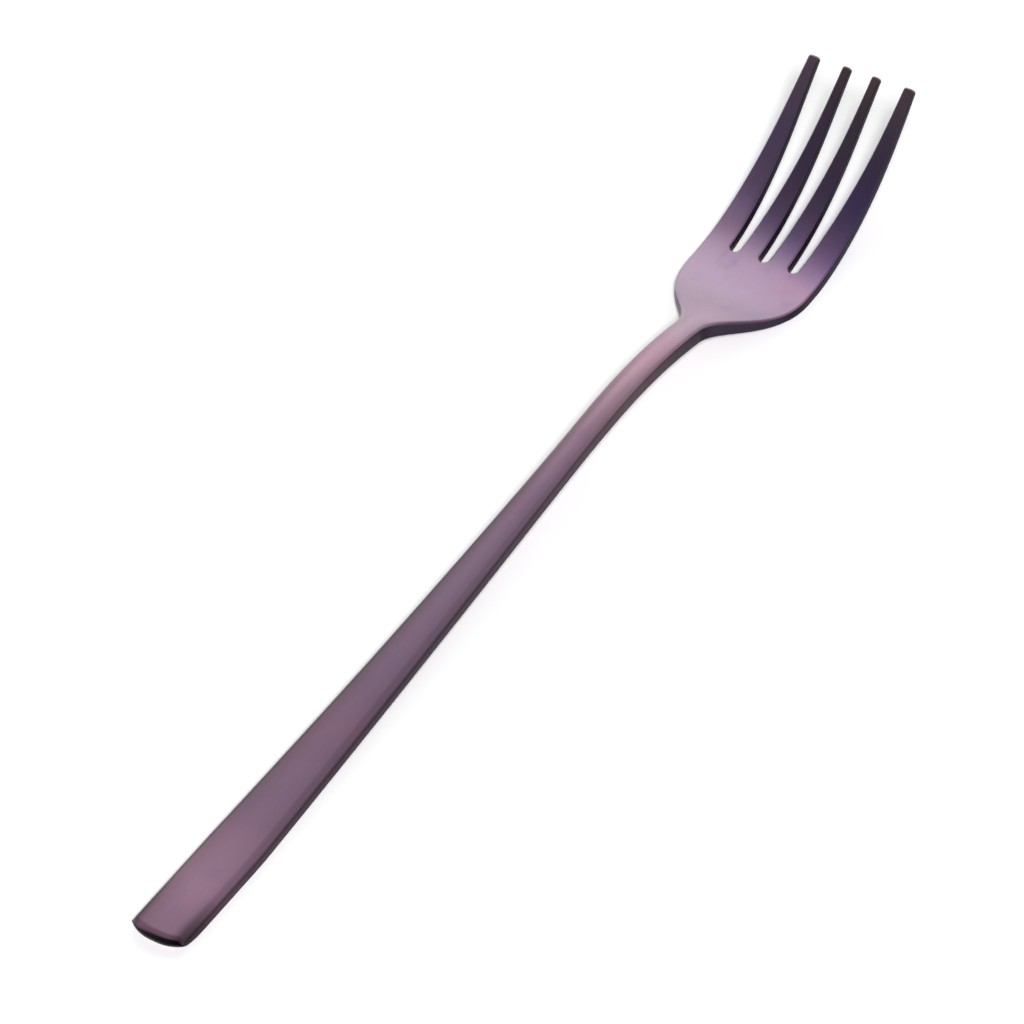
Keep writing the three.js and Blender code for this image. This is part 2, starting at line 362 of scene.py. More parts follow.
@dataclass
class Sheet:
    """The blank drawn down to thickness, bent along its length and rounded at its edges."""

    blank: Blank
    foot: float
    heel_bend: float = 1.0
    lift_angle: float = 1.7
    rise_angle: float = 4.4
    crest_into_neck: float = 10.0
    crest_angle: float = 1.5
    drop_into_palm: float = 7.1
    scoop_into_tines: float = 4.2
    scoop_angle: float = 13.9
    straight_tip: float = 10.6
    sweep_angle: float = 34.8
    tip_angle: float = 36.2
    bend_ease: float = 4.0
    handle_thickness: float = 3.05
    notch_thickness: float = 3.25
    root_thickness: float = 1.95
    tip_thickness: float = 1.6
    drawn_length: float = 12.8
    handle_crown: float = 0.5
    handle_top_edge: float = 1.3
    neck_top_edge: float = 0.6
    shoulder_top_edge: float = 0.55
    head_top_edge: float = 0.4
    underside_edge: float = 0.4
    edge_start: float = 60.0
    edge_lead: float = 16.0
    edge_run: float = 6.5
    end_edge: float = 1.3
    end_run: float = 5.0
    end_depth: float = 1.2
    end_wall: float = 0.45
    step: float = 0.1
    bend_samples: int = 16
    steepest_drop: float = -60.0
    halvings: int = 40
    nudge: float = 0.05
    nose_nudge: float = 0.002
    nose_limit: float = 0.9998
    least_level: float = 0.02

    def thickness(self, station: Array) -> Array:
        """Thickness of the metal, square to its top."""
        drawn_end = self.blank.palm_start + self.drawn_length
        knots = [
            (self.blank.neck_start, self.handle_thickness),
            (self.blank.palm_start, self.notch_thickness),
            (drawn_end, self.root_thickness),
            (self.blank.tine_end, self.tip_thickness),
        ]
        total = self.handle_thickness + 0.0 * station
        for (start, before), (end, after) in zip(knots, knots[1:]):
            total += (after - before) * ease(station, start, end)
        return total

    def slope(self, station: Array, drop_angle: float) -> Array:
        """Slope of the top line in radians.

        Args:
            station: Stations along the fork.
            drop_angle: Angle of the line where the neck drops into the palm.

        Returns:
            The slope at each station, eased over the bends.
        """
        blank = self.blank
        knots = np.array([
            (0.0, 0.0),
            (blank.heel_length, 0.0),
            (blank.heel_length + self.heel_bend, self.lift_angle),
            (blank.neck_start, self.rise_angle),
            (blank.neck_start + self.crest_into_neck, self.crest_angle),
            (blank.palm_start + self.drop_into_palm, drop_angle),
            (blank.tine_start + self.scoop_into_tines, self.scoop_angle),
            (blank.tine_end - self.straight_tip, self.sweep_angle),
            (blank.tine_end, self.tip_angle),
        ])
        offsets = (2.0 * np.arange(self.bend_samples) + 1.0) / self.bend_samples - 1.0
        spots = station[:, None] + self.bend_ease * offsets
        return np.radians(np.interp(spots, knots[:, 0], knots[:, 1]).mean(axis=1))

    def line(self, drop_angle: float) -> tuple[Array, Array]:
        """Top line for one drop angle, as stations and points in the side view."""
        stations = np.arange(0.0, self.blank.tine_end + self.step, self.step)
        slopes = self.slope(stations[:-1] + self.step / 2.0, drop_angle)
        moves = np.stack([np.cos(slopes), np.sin(slopes)], axis=1) * self.step
        start = np.array([[0.0, self.handle_thickness]])
        return stations, np.concatenate([start, start + np.cumsum(moves, axis=0)])

    def belly_height(self, drop_angle: float) -> float:
        """Height of the belly's lowest point above the table."""
        stations, points = self.line(drop_angle)
        head = stations >= self.blank.palm_start
        slopes = self.slope(stations[head], drop_angle)
        return float((points[head, 1] - self.thickness(stations[head]) * np.cos(slopes)).min())

    @cached_property
    def drop_angle(self) -> float:
        """Angle at which the belly lies on the table with the heel."""
        shallow, steep = 0.0, self.steepest_drop
        for _ in range(self.halvings):
            middle = (shallow + steep) / 2.0
            if self.belly_height(middle) > 0.0:
                shallow = middle
            else:
                steep = middle
        return (shallow + steep) / 2.0

    @cached_property
    def top_line(self) -> tuple[Array, Array]:
        """The top line at the resting drop angle."""
        return self.line(self.drop_angle)

    def head_share(self, station: Array) -> Array:
        """How far the section has gone over from the crowned handle to the flat head."""
        return ease(station, self.blank.palm_start, self.blank.tine_start)

    def top_edge(self, station: Array) -> Array:
        """Radius of the rounding along the top edge, which tightens from the handle to the tines."""
        knots = [
            (self.edge_start, self.handle_top_edge),
            (self.blank.palm_start - self.edge_lead, self.neck_top_edge),
            (self.blank.palm_start + self.edge_run, self.shoulder_top_edge),
            (self.blank.tine_start, self.head_top_edge),
        ]
        return np.interp(station, *zip(*knots))

    def nose(self, station: Array, across: Array, height: Array) -> tuple[Array, Array, Array]:
        """Share of its height that a point keeps where the handle's end is drawn to a blunt nose.

        Args:
            station: Station of each point.
            across: Place across the fork of each point.
            height: Height of each point from the top line.

        Returns:
            The share, and how fast it grows along and across the fork.
        """
        nudge = self.nose_nudge
        run = np.where(height > -self.end_depth, self.end_edge, self.end_run)
        wall = self.end_wall / self.handle_thickness

        def share(at: Array, aside: Array) -> Array:
            """Share at places along and across the fork."""
            short = np.clip(1.0 - self.blank.unbowed(at, aside) / run, 0.0, self.nose_limit)
            return blend(wall, 1.0, np.sqrt(1.0 - short**2))

        along = (share(station + nudge, across) - share(station - nudge, across)) / (2.0 * nudge)
        sideways = (share(station, across + nudge) - share(station, across - nudge)) / (2.0 * nudge)
        return share(station, across), along, sideways

    def skin(self, station: Array, across: Array, side: Side) -> tuple[Array, Array]:
        """Points and normals of one broad face, with its edges rounded over.

        Args:
            station: Station of each point.
            across: Place across the fork of each point.
            side: Top or underside.

        Returns:
            Points in millimetres and unit normals, one row each.
        """
        blank = self.blank
        distance, inward = blank.rim.nearest(np.stack([station, across], axis=1))
        share = self.head_share(station)
        top = side is Side.TOP
        crown = blend(self.handle_crown, 0.0, share) if top else 0.0 * share
        radius = self.top_edge(station) if top else self.underside_edge
        lean = np.clip(1.0 - distance / radius, 0.0, 1.0)
        level = np.sqrt(1.0 - lean**2)
        half = blank.half_width(station)
        drop = radius * (1.0 - level) + crown * (across / half) ** 2
        thickness = self.thickness(station)
        height = -drop if top else drop - thickness
        thinning = self.thickness(station + self.nudge) - self.thickness(station - self.nudge)
        thinning = thinning / (2.0 * self.nudge)
        # The normal in the flat sheet: rounding, thinning and crown first, then the blunt nose.
        level = np.maximum(level, self.least_level)
        kept, along_share, across_share = self.nose(station, across, height)
        reach = level * side.value * (height + self.end_depth)
        along = -lean * inward[:, 0] - (0.0 if top else level * thinning)
        along = along * kept - reach * along_share
        sideways = -lean * inward[:, 1] + level * 2.0 * crown * across / half**2
        sideways = sideways * kept - reach * across_share
        upright = level * side.value
        height = (height + self.end_depth) * kept - self.end_depth

        # The sheet is bent along its top line, square to it all the way through the metal.
        stations, points = self.top_line
        slope = self.slope(station, self.drop_angle)
        cos, sin = np.cos(slope), np.sin(slope)
        foot_x = np.interp(station, stations, points[:, 0]) + np.minimum(station, 0.0) + self.foot
        foot_z = np.interp(station, stations, points[:, 1])
        place = np.stack([foot_x - height * sin, across, foot_z + height * cos], axis=1)
        normal = np.stack([along * cos - upright * sin, sideways, along * sin + upright * cos], axis=1)
        return place, normal / np.linalg.norm(normal, axis=1, keepdims=True)


@dataclass
class Region:
    """One region of the fork: a grid on top, its twin below, and walls between them."""

    sheet: Sheet
    node: str
    start: End = End.SHARED
    finish: End = End.SHARED
    round_steps: int = 6
    slant_nudge: float = 0.02

    def stations(self) -> Array:
        """Stations of the grid's rows."""
        raise NotImplementedError

    def columns(self, station: float) -> Array:
        """Places across the fork of one row's points."""
        raise NotImplementedError

    def bowed(self, station: Array, across: Array) -> Array:
        """Stations of the grid once a bowed end is drawn in."""
        return station

    def edge_insets(self, station: float) -> Array:
        """Distances from an outer edge at which the rounding is cut, stretched where the edge runs askew."""
        blank, nudge = self.sheet.blank, self.slant_nudge
        slant = (blank.half_width(station + nudge) - blank.half_width(station - nudge)) / (2.0 * nudge)
        radius = float(self.sheet.top_edge(np.float64(station)))
        return arc_insets(radius * math.hypot(1.0, slant), self.round_steps)

    def faces(self, rows: int, columns: int) -> tuple[list[tuple[int, ...]], int]:
        """Quads of the closed grid.

        Args:
            rows: Number of rows along the fork.
            columns: Number of points in a row.

        Returns:
            The quads, those of shared end faces last, and how many the shared ones are.
        """
        size = rows * columns
        skin: list[tuple[int, ...]] = []
        shared: list[tuple[int, ...]] = []
        for row in range(rows - 1):
            for column in range(columns - 1):
                here = row * columns + column
                quad = (here, here + columns, here + columns + 1, here + 1)
                skin.append(quad)
                skin.append(tuple(corner + size for corner in reversed(quad)))
            right = row * columns
            left = right + columns - 1
            skin.append((right, right + size, right + columns + size, right + columns))
            skin.append((left, left + columns, left + columns + size, left + size))
        last = size - columns
        for column in range(columns - 1):
            near = (column, column + 1, column + 1 + size, column + size)
            far = tuple(corner + last for corner in reversed(near))
            (skin if self.start is End.FREE else shared).append(near)
            (skin if self.finish is End.FREE else shared).append(far)
        return skin + shared, len(shared)

    def build(self, coat: bpy.types.Material) -> bpy.types.Object:
        """Make the region's mesh and dress it.

        Args:
            coat: The finish of the metal.

        Returns:
            The object, riding on the part and standing for its node.
        """
        rows = self.stations()
        across = np.array([self.columns(float(station)) for station in rows])
        station = self.bowed(np.repeat(rows[:, None], across.shape[1], axis=1), across)
        flat = station.ravel(), across.ravel()
        top, top_normals = self.sheet.skin(*flat, Side.TOP)
        low, low_normals = self.sheet.skin(*flat, Side.UNDERSIDE)
        quads, shared = self.faces(*across.shape)
        mesh = bpy.data.meshes.new("coated_" + self.node)
        mesh.from_pydata((np.concatenate([top, low]) * METRE).tolist(), [], quads)
        mesh.shade_smooth()
        normals = np.concatenate([top_normals, low_normals])[np.array(quads).ravel()]
        # A shared end face is flat, so its four corners take the face's own normal.
        for index in range(len(quads) - shared, len(quads)):
            normals[4 * index : 4 * index + 4] = mesh.polygons[index].normal
        mesh.normals_split_custom_set(normals.tolist())
        mesh.materials.append(coat)
        piece = bpy.data.objects.new("coated_" + self.node, mesh)
        bpy.context.scene.collection.objects.link(piece)
        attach(piece, "root")
        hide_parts(self.node)
        return piece


@dataclass
class Handle(Region):
    """The broad part of the handle, crowned on top, with a bowed end and a flat heel."""

    node: str = "handle"
    start: End = End.FREE
    inner_columns: int = 14
    heel_rows: int = 15
    grip_rows: int = 57

    def stations(self) -> Array:
        """Rows close together at the blunt end and evenly spaced along the grip."""
        blank = self.sheet.blank
        rounding = arc_insets(self.sheet.end_edge, 2 * self.round_steps)
        heel = np.linspace(rounding[-1], blank.handle_end_reach, self.heel_rows)[1:]
        grip = np.linspace(blank.handle_end_reach, blank.grip_length, self.grip_rows)[1:]
        return np.concatenate([rounding, heel, grip])

    def columns(self, station: float) -> Array:
        """Rounding at both edges and even columns between."""
        half = float(self.sheet.blank.half_width(station))
        rounding = self.edge_insets(station)
        inner = np.linspace(rounding[-1] - half, half - rounding[-1], self.inner_columns + 1)[1:-1]
        return np.concatenate([rounding - half, inner, half - rounding[::-1]])

    def bowed(self, station: Array, across: Array) -> Array:
        """Rows near the end follow its bow."""
        return self.sheet.blank.bowed(station, across)


@dataclass
class Neck(Handle):
    """The slim end of the handle and the neck, which drops and flares into the palm."""

    node: str = "neck"
    start: End = End.SHARED
    bar_rows: int = 54
    flare_rows: int = 9

    def stations(self) -> Array:
        """Even rows, closer together in the flare."""
        blank = self.sheet.blank
        flare = blank.palm_start - blank.notch_flare
        bar = np.linspace(blank.grip_length, flare, self.bar_rows)
        return np.concatenate([bar, np.linspace(flare, blank.palm_start, self.flare_rows)[1:]])


@dataclass
class Palm(Region):
    """The palm, in four strips that run out into the tines."""

    node: str = "palm"
    slot_insets: tuple[float, ...] = (0.0, 0.08, 0.18, 0.32, 0.5, 0.75, 1.05)
    dip_insets: tuple[float, ...] = (1.2, 0.8, 0.55, 0.42, 0.33, 0.25, 0.17, 0.1, 0.05, 0.0)
    inner_columns: int = 4
    notch_rows: int = 9
    shoulder_rows: int = 26

    def stations(self) -> Array:
        """Rows close together in the notch and where the slots' round ends dip."""
        blank = self.sheet.blank
        notch = np.linspace(blank.palm_start, blank.palm_start + blank.notch_flare, self.notch_rows)
        dip = blank.tine_start - np.array(self.dip_insets)
        shoulder = np.linspace(notch[-1], dip[0], self.shoulder_rows)[1:-1]
        return np.concatenate([notch, shoulder, dip])

    def columns(self, station: float) -> Array:
        """Rounding at the outer edges, and strips that gather at the slots' middle lines."""
        blank = self.sheet.blank
        half = float(blank.half_width(station))
        scale = half / float(blank.half_width(blank.tine_start))
        pitch = blank.slot_pitch * scale
        slot = np.array(self.slot_insets) * scale
        outer = self.edge_insets(station)
        runs = [np.concatenate([outer - half, self.between(outer[-1] - half, -pitch - slot[-1])])]
        for line in (-pitch, 0.0):
            lane = self.between(line + slot[-1], line + pitch - slot[-1])
            runs.append(np.concatenate([line - slot[::-1], line + slot[1:], lane]))
        rest = self.between(pitch + slot[-1], half - outer[-1])
        runs.append(np.concatenate([pitch - slot[::-1], pitch + slot[1:], rest, half - outer[::-1]]))
        return np.concatenate(runs)

    def between(self, right: float, left: float) -> Array:
        """Even columns strictly between two places."""
        return np.linspace(right, left, self.inner_columns + 1)[1:-1]


@dataclass
class Tine(Palm):
    """One tine, from the slots' round ends to its blunt tip."""

    lay: Lay = Lay.RIGHT_OUTER
    finish: End = End.FREE
    widest_rounding: float = 0.36
    outer_spread: float = 1.2

    def stations(self) -> Array:
        """Rows along the slot's round end, the blade and the tip."""
        return self.sheet.blank.tine_stations()

    def columns(self, station: float) -> Array:
        """Rounding at both edges, wider spread where a slot is still closing, and even columns between."""
        blank = self.sheet.blank
        right, left = (float(edge) for edge in blank.tine_edges(self.lay, np.float64(station)))
        opened = float(blank.slot_opening(np.float64(station))) / (blank.slot_root_width / 2.0)
        tight = arc_insets(self.sheet.head_top_edge, self.round_steps)
        tight = tight * min(1.0, self.widest_rounding * (left - right) / tight[-1])
        slot = blend(np.array(self.slot_insets), tight, opened)
        outer = self.edge_insets(station)
        outer = outer * min(1.0, tight[-1] / outer[-1] * self.outer_spread)
        right_insets = outer if self.lay is Lay.RIGHT_OUTER else slot
        left_insets = outer if self.lay is Lay.LEFT_OUTER else slot
        lane = self.between(right + right_insets[-1], left - left_insets[-1])
        return np.concatenate([right + right_insets, lane, left - left_insets[::-1]])


class Link:
    """A shader socket that takes part in Python arithmetic."""

    def __init__(self, bench: "Bench", socket: bpy.types.NodeSocket) -> None:
        """Keep the socket and the bench that adds its nodes."""
        self.bench = bench
        self.socket = socket

    def work(self, operation: str, *values: Any) -> "Link":
        """Add one Math node.

        Args:
            operation: The node's operation.
            values: Its operands in order, links or numbers.

        Returns:
            The node's result.
        """
        inputs = dict(enumerate(values))
        return self.bench.add("ShaderNodeMath", {"operation": operation}, inputs)

    def __add__(self, other: Any) -> "Link":
        """Sum."""
        return self.work("ADD", self, other)

    def __radd__(self, other: Any) -> "Link":
        """Sum with a number in front."""
        return self.work("ADD", other, self)

    def __sub__(self, other: Any) -> "Link":
        """Difference."""
        return self.work("SUBTRACT", self, other)

    def __rsub__(self, other: Any) -> "Link":
        """Difference from a number in front."""
        return self.work("SUBTRACT", other, self)

    def __mul__(self, other: Any) -> "Link":
        """Product."""
        return self.work("MULTIPLY", self, other)

    def __rmul__(self, other: Any) -> "Link":
        """Product with a number in front."""
        return self.work("MULTIPLY", other, self)

    def __abs__(self) -> "Link":
        """Size without its sign."""
        return self.work("ABSOLUTE", self)

    def eased(self, span: Span) -> "Link":
        """Smooth step, 0 at the start of the span and 1 at its end."""
        inputs = {"Value": self, "From Min": span[0], "From Max": span[1]}
        return self.bench.add("ShaderNodeMapRange", {"interpolation_type": "SMOOTHSTEP"}, inputs)

    def faded(self, span: Span) -> "Link":
        """Smooth step the other way, 1 at the start of the span and 0 at its end."""
        return 1.0 - self.eased(span)


class Bench:
    """Adds nodes to one shader tree."""

    # Numbers of the Mix node's sockets when it mixes colours: its names repeat for each kind of data.
    MIX_SHARE = 0
    MIX_FIRST = 6
    MIX_SECOND = 7
    MIX_RESULT = 2

    def __init__(self, owner: bpy.types.Material | bpy.types.World) -> None:
        """Clear the owner's tree and keep it."""
        owner.use_nodes = True
        self.tree = owner.node_tree
        self.tree.nodes.clear()

    def node(self, kind: str, settings: dict[str, Any], inputs: dict[Any, Any]) -> bpy.types.Node:
        """Add one node.

        Args:
            kind: The node's type.
            settings: Its properties, set first. The key stops holds a ramp's places and colours.
            inputs: Values or links of its sockets, by name or number.

        Returns:
            The node.
        """
        node = self.tree.nodes.new(kind)
        for key, setting in settings.items():
            if key == "stops":
                self.fill_ramp(node.color_ramp, setting)
            else:
                setattr(node, key, setting)
        for key, value in inputs.items():
            if isinstance(value, Link):
                self.tree.links.new(value.socket, node.inputs[key])
            else:
                node.inputs[key].default_value = value
        return node

    @staticmethod
    def fill_ramp(ramp: bpy.types.ColorRamp, stops: list[tuple[float, Colour]]) -> None:
        """Give a ramp its stops.

        Args:
            ramp: The ramp of a Color Ramp node.
            stops: Place and colour of each stop, in order.
        """
        while len(ramp.elements) < len(stops):
            ramp.elements.new(0.5)
        for element, (place, colour) in zip(ramp.elements, stops):
            element.position = place
            element.color = (*colour, 1.0)

    def add(self, kind: str, settings: dict[str, Any], inputs: dict[Any, Any], out: Any = 0) -> Link:
        """Add one node and give its output with that name or number."""
        return Link(self, self.node(kind, settings, inputs).outputs[out])

    def mixed(self, first: Any, second: Any, share: Any) -> Link:
        """Mix of two colours.

        Args:
            first: Colour or link at share 0.
            second: Colour or link at share 1.
            share: The share of the second, a link or number.

        Returns:
            The mixed colour.
        """
        before, after = ((*shade, 1.0) if isinstance(shade, tuple) else shade for shade in (first, second))
        inputs = {self.MIX_SHARE: share, self.MIX_FIRST: before, self.MIX_SECOND: after}
        return self.add("ShaderNodeMix", {"data_type": "RGBA"}, inputs, self.MIX_RESULT)

    def scaled(self, vector: Link, factors: Colour) -> Link:
        """A vector with each axis times its own factor."""
        return self.add("ShaderNodeVectorMath", {"operation": "MULTIPLY"}, {0: vector, 1: factors})

    def toned(self, colour: Link, red: Any, green: Any, blue: Any) -> Link:
        """A colour with each channel times its own factor."""
        tone = self.add("ShaderNodeCombineXYZ", {}, {0: red, 1: green, 2: blue})
        return self.add("ShaderNodeVectorMath", {"operation": "MULTIPLY"}, {0: colour, 1: tone})

    def split(self, vector: Link) -> list[Link]:
        """The three parts of a vector."""
        node = self.node("ShaderNodeSeparateXYZ", {}, {0: vector})
        return [Link(self, output) for output in node.outputs]

    def finish(self, surface: Link, kind: str) -> None:
        """Send a shader to the tree's output node of that kind."""
        self.node(kind, {}, {"Surface": surface})


@dataclass(frozen=True)
class Noise:
    """One layer of soft noise, about 0.5 on average, in waves per millimetre."""

    scale: float
    detail: float
    seed: Colour = (0.0, 0.0, 0.0)
    stretch: Colour = (1.0, 1.0, 1.0)
    middle: float = 0.5

    def at(self, bench: Bench, place: Link) -> Link:
        """Value of the noise.

        Args:
            bench: Where the nodes go.
            place: Coordinates in millimetres.

        Returns:
            The noise at that place.
        """
        moved = {0: bench.scaled(place, self.stretch), 1: self.seed}
        vector = bench.add("ShaderNodeVectorMath", {"operation": "ADD"}, moved)
        inputs = {"Vector": vector, "Scale": self.scale, "Detail": self.detail}
        return bench.add("ShaderNodeTexNoise", {}, inputs)


@dataclass(frozen=True)
class Spot:
    """Where a shaded point lies on the fork and which way it faces."""

    place: Link
    along: Link
    across: Link
    upright: Link
    leftward: Link
    backward: Link

    @classmethod
    def read(cls, bench: Bench) -> "Spot":
        """Links of the point that is being shaded.

        Args:
            bench: Where the nodes go.

        Returns:
            Its place in millimetres and the parts of its normal.
        """
        object_place = bench.add("ShaderNodeTexCoord", {}, {}, "Object")
        place = bench.scaled(object_place, (1.0 / METRE, 1.0 / METRE, 1.0 / METRE))
        along, across, _ = bench.split(place)
        onward, leftward, upward = bench.split(bench.add("ShaderNodeNewGeometry", {}, {}, "Normal"))
        return cls(place, along, across, abs(upward), leftward, 0.0 - onward)


@dataclass(frozen=True)
class SatinCoat:
    """Satin mauve coat on brushed steel: its colour drifts from rose to violet, and light and shade are
    painted into it by place.
    """

    name: str = "satin_mauve_coat"
    # Colour along the fork: the coat's rose to violet hue with painted light and shade, darker in the
    # handle's middle and on the tines, lighter near the handle's end and on the neck and palm.
    drift_and_painted_shade: tuple[tuple[float, Colour], ...] = (
        (-105.0, linear(150, 119, 141)),
        (-92.0, linear(171, 135, 159)),
        (-76.0, linear(149, 120, 143)),
        (-55.0, linear(141, 114, 137)),
        (-20.0, linear(146, 121, 143)),
        (0.0, linear(152, 124, 147)),
        (12.0, linear(166, 135, 156)),
        (32.0, linear(184, 151, 165)),
        (48.0, linear(177, 154, 170)),
        (60.0, linear(174, 152, 174)),
        (69.0, linear(171, 144, 172)),
        (77.0, linear(138, 114, 162)),
        (88.0, linear(123, 104, 155)),
        (98.0, linear(126, 107, 136)),
        (105.0, linear(150, 126, 140)),
    )
    rose: Colour = linear(170, 125, 146)
    violet: Colour = linear(134, 116, 160)
    slant: float = 0.35
    cloud: Noise = Noise(0.045, 2.0)
    mottle: Noise = Noise(0.22, 3.0, seed=(7.0, 3.0, 1.0))
    grain: Noise = Noise(1.0, 4.0, stretch=(0.35, 5.0, 5.0))
    pores: Noise = Noise(6.0, 2.0, seed=(1.0, 5.0, 9.0))
    # A span says where a mask starts and where it is full: in the noise, in millimetres along or across the
    # fork, or in a part of the normal.
    rose_patch: Span = (0.5, 0.75)
    violet_patch: Span = (0.52, 0.8)
    patch_strength: float = 0.3
    plain_shade: float = 0.9
    grain_shade: float = 0.2
    # Painted highlight: the left outer tine is made lighter by this gain.
    highlight_across: Span = (6.5, 9.0)
    highlight_along: Span = (72.0, 80.0)
    painted_highlight_gain: float = 0.55
    # Painted reflection tint: every tine but the right outer one loses this share of its blue.
    reflection_tint_across: Span = (-8.5, -5.0)
    reflection_tint_along: Span = (74.0, 84.0)
    reflection_blue_loss: float = 0.2
    # Painted shade on the cut walls: the wall mask darkens the coat's colour by these shares on the handle,
    # the tines and the shoulders.
    wall_upright: Span = (0.3, 0.8)
    wall_painted_violet: float = 0.6
    painted_handle_wall_shade: float = 0.82
    head_along: Span = (25.0, 55.0)
    tine_darkness: float = 0.96
    shoulder_facing: Span = (0.1, 0.55)
    painted_shoulder_wall_shade: float = 0.85
    # Where the painted wall shade is lifted at the tines' tips.
    tip_along: Span = (100.0, 103.0)
    tip_facing: Span = (0.0, 0.5)
    # Painted shade along the handle's left top edge.
    brink_along: Span = (-15.0, 18.0)
    brink_facing: Span = (0.13, 0.45)
    painted_brink_shade: float = 0.68
    # Painted shade under the handle's blunt end.
    nose_along: Span = (-101.0, -95.0)
    foot_turn: float = 0.45
    foot_facing: Span = (0.42, 0.7)
    painted_foot_shade: float = 0.93
    # Painted highlight on the roll-over of the handle's end.
    roll_rise: Span = (0.1, 0.35)
    roll_fall: Span = (0.4, 0.62)
    # Painted shade at the corners of the handle's end.
    corner_along: Span = (-102.5, -90.0)
    corner_across: Span = (2.6, 5.0)
    painted_corner_shade: float = 0.6
    roughness: float = 0.3
    mottle_roughness: float = 0.06
    grain_roughness: float = 0.08
    wall_roughness: float = 0.1
    grain_height: float = 0.7
    bump_strength: float = 0.12
    bump_depth: float = 0.03

    def tint(self, bench: Bench, spot: Spot, mottle: Link, grain: Link) -> Link:
        """Colour of the coat on the broad faces, with light and shade painted into it along the fork and on
        the tines.

        Args:
            bench: Where the nodes go.
            spot: The point that is being shaded.
            mottle: The mottle there.
            grain: The grain there.

        Returns:
            The colour.
        """
        first = self.drift_and_painted_shade[0][0]
        length = self.drift_and_painted_shade[-1][0] - first
        stops = [((station - first) / length, colour) for station, colour in self.drift_and_painted_shade]
        run = (spot.along - self.slant * spot.across - first) * (1.0 / length)
        colour = bench.add("ShaderNodeValToRGB", {"stops": stops}, {0: run})
        cloud = self.cloud.at(bench, spot.place)
        colour = bench.mixed(colour, self.rose, cloud.eased(self.rose_patch) * self.patch_strength)
        colour = bench.mixed(colour, self.violet, mottle.eased(self.violet_patch) * self.patch_strength)
        # Painted highlight on the left outer tine.
        painted_highlight_tine = spot.across.eased(self.highlight_across) * spot.along.eased(self.highlight_along)
        # Painted reflection tint, less blue, on every tine but the right outer one.
        reflection_tinted_tines = spot.across.eased(self.reflection_tint_across) * spot.along.eased(self.reflection_tint_along)
        shade = self.plain_shade + self.grain_shade * grain + self.painted_highlight_gain * painted_highlight_tine
        return bench.toned(colour, shade, shade, shade * (1.0 - self.reflection_blue_loss * reflection_tinted_tines))

    def painted_light(self, spot: Spot, wall: Link, head: Link) -> Link:
        """Painted shade on the cut walls, the handle's left edge, end and corners, and a painted highlight
        on the end's roll-over.

        Args:
            spot: The point that is being shaded.
            wall: 1 on the cut walls, 0 on the broad faces.
            head: 1 on the head, 0 on the handle.

        Returns:
            The factor on the coat's colour that paints this shade and light.
        """
        # Painted shade on the cut walls, strongest on the tines.
        shoulder = spot.backward.eased(self.shoulder_facing)
        head_darkness = blend(self.tine_darkness, self.painted_shoulder_wall_shade, shoulder)
        darkness = blend(self.painted_handle_wall_shade, head_darkness, head)
        # The painted shade on the walls is lifted where the tines' tips face forward.
        tip = spot.along.eased(self.tip_along) * (0.0 - spot.backward).eased(self.tip_facing)
        # Painted shade along the handle's left top edge.
        brink = spot.leftward.eased(self.brink_facing) * spot.along.faded(self.brink_along) * (1.0 - wall)
        # Painted shade under the handle's blunt end.
        nose = spot.along.faded(self.nose_along)
        foot = nose * (spot.backward - self.foot_turn * spot.leftward).eased(self.foot_facing)
        # Painted highlight on the roll-over of the handle's end.
        roll = nose * spot.backward.eased(self.roll_rise) * spot.backward.faded(self.roll_fall)
        # Painted shade at the corners of the handle's end.
        corner = spot.along.faded(self.corner_along) * abs(spot.across).eased(self.corner_across)
        kept = (1.0 - darkness * wall * (1.0 - tip)) * (1.0 - self.painted_foot_shade * foot)
        kept = kept * (1.0 - self.painted_brink_shade * brink) * (1.0 - self.painted_corner_shade * corner)
        return kept * (1.0 + roll)

    def material(self) -> bpy.types.Material:
        """Make the coat's shader.

        Returns:
            The material.
        """
        material = bpy.data.materials.new(self.name)
        bench = Bench(material)
        spot = Spot.read(bench)
        mottle = self.mottle.at(bench, spot.place)
        grain = self.grain.at(bench, spot.place)
        pores = self.pores.at(bench, spot.place)
        # Mask of the cut walls, which carries painted shade, a painted violet tint on the head and a higher
        # roughness.
        wall = spot.upright.faded(self.wall_upright)
        head = spot.along.eased(self.head_along)
        colour = self.tint(bench, spot, mottle, grain)
        # Painted reflection tint: the head's cut walls are mixed towards violet.
        colour = bench.mixed(colour, self.violet, wall * head * self.wall_painted_violet)
        # Painted shade and light, multiplied into the base colour.
        kept = self.painted_light(spot, wall, head)
        rough = self.roughness + self.mottle_roughness * (mottle - self.mottle.middle)
        rough = rough + self.grain_roughness * (grain - self.grain.middle) + self.wall_roughness * wall
        height = blend(pores, grain, self.grain_height)
        relief = {"Strength": self.bump_strength, "Distance": self.bump_depth * METRE, "Height": height}
        inputs = {
            "Base Color": bench.toned(colour, kept, kept, kept),
            "Metallic": 1.0,
            "Roughness": rough,
            "Normal": bench.add("ShaderNodeBump", {}, relief),
        }
        bench.finish(bench.add("ShaderNodeBsdfPrincipled", {}, inputs), "ShaderNodeOutputMaterial")
        return material


@dataclass
class Fork:
    """The fork's seven regions, all of one sheet."""

    blank: Blank
    foot: float
    coat: SatinCoat = field(default_factory=SatinCoat)

    def build(self) -> None:
        """Make every region and report it."""
        sheet = Sheet(self.blank, self.foot)
        coat = self.coat.material()
        regions: list[Region] = [Handle(sheet), Neck(sheet), Palm(sheet)]
        regions += [Tine(sheet, node="tine_" + lay.name.lower(), lay=lay) for lay in Lay]
        for region in regions:
            piece = region.build(coat)
            LOG.info("%s: %d faces", piece.name, len(piece.data.polygons))


